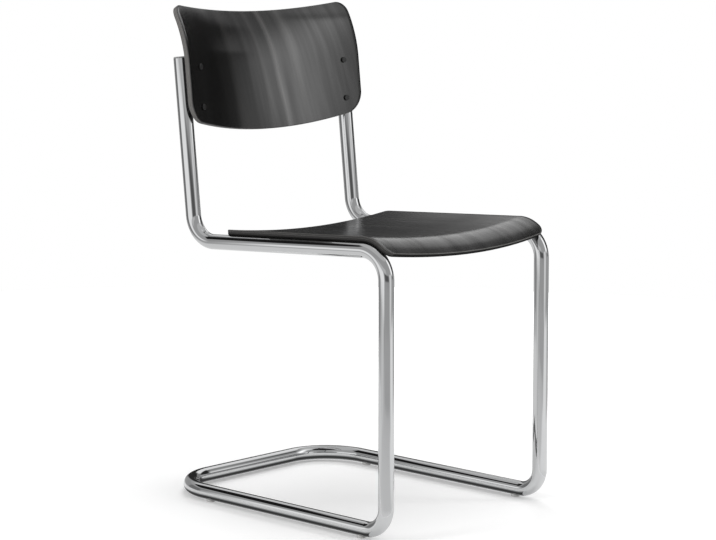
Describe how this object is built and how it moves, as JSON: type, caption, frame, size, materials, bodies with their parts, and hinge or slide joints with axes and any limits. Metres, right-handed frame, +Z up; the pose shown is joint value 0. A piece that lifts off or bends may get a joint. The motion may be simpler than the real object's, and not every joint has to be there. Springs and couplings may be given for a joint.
{
  "type": "cantilever dining chair",
  "caption": "Cantilever dining chair: a bent chromed tube frame on floor runners carries a moulded plywood seat and a curved plywood backrest.",
  "frame": {"origin": "on the floor, below the middle of the chair's bounding box", "axes": "+Z up; -Y is the front, where the legs and the rounded lip of the seat are; +X is the sitter's left"},
  "size_m": [0.4234, 0.5172, 0.8275],
  "materials": {
    "frame_chrome": "bright chrome plate on bent steel tube",
    "plate_chrome": "chrome plate on small welded steel plates",
    "seat_veneer": "black-stained veneer on moulded plywood, satin lacquer",
    "back_veneer": "black-stained veneer on moulded plywood, satin lacquer",
    "glide_plastic": "natural off-white moulded plastic",
    "cap_plastic": "light grey moulded plastic",
    "pad_rubber": "black rubber washer",
    "insert_steel": "zinc-plated steel",
    "sleeve_black": "black finish",
    "screw_black": "black finish"
  },
  "bodies": {
    "root": {"back_bracket_left": "plate_chrome", "back_bracket_right": "plate_chrome", "back_pad_lower_left": "pad_rubber", "back_pad_lower_right": "pad_rubber", "back_pad_upper_left": "pad_rubber", "back_pad_upper_right": "pad_rubber", "back_screw_lower_left": "screw_black", "back_screw_lower_right": "screw_black", "back_screw_upper_left": "screw_black", "back_screw_upper_right": "screw_black", "back_sleeve_lower_left": "sleeve_black", "back_sleeve_lower_right": "sleeve_black", "back_sleeve_upper_left": "sleeve_black", "back_sleeve_upper_right": "sleeve_black", "backrest_shell": "back_veneer", "end_cap_left": "cap_plastic", "end_cap_right": "cap_plastic", "frame_tube": "frame_chrome", "glide_front_left": "glide_plastic", "glide_front_right": "glide_plastic", "glide_rear_left": "glide_plastic", "glide_rear_right": "glide_plastic", "seat_insert_front_left": "insert_steel", "seat_insert_front_right": "insert_steel", "seat_insert_rear_left": "insert_steel", "seat_insert_rear_right": "insert_steel", "seat_pad_front_left": "pad_rubber", "seat_pad_front_right": "pad_rubber", "seat_pad_rear_left": "pad_rubber", "seat_pad_rear_right": "pad_rubber", "seat_screw_front_left": "screw_black", "seat_screw_front_right": "screw_black", "seat_screw_rear_left": "screw_black", "seat_screw_rear_right": "screw_black", "seat_shell": "seat_veneer", "seat_tab_front_left": "plate_chrome", "seat_tab_front_right": "plate_chrome", "seat_tab_rear_left": "plate_chrome", "seat_tab_rear_right": "plate_chrome"}
  },
  "joints": []
}
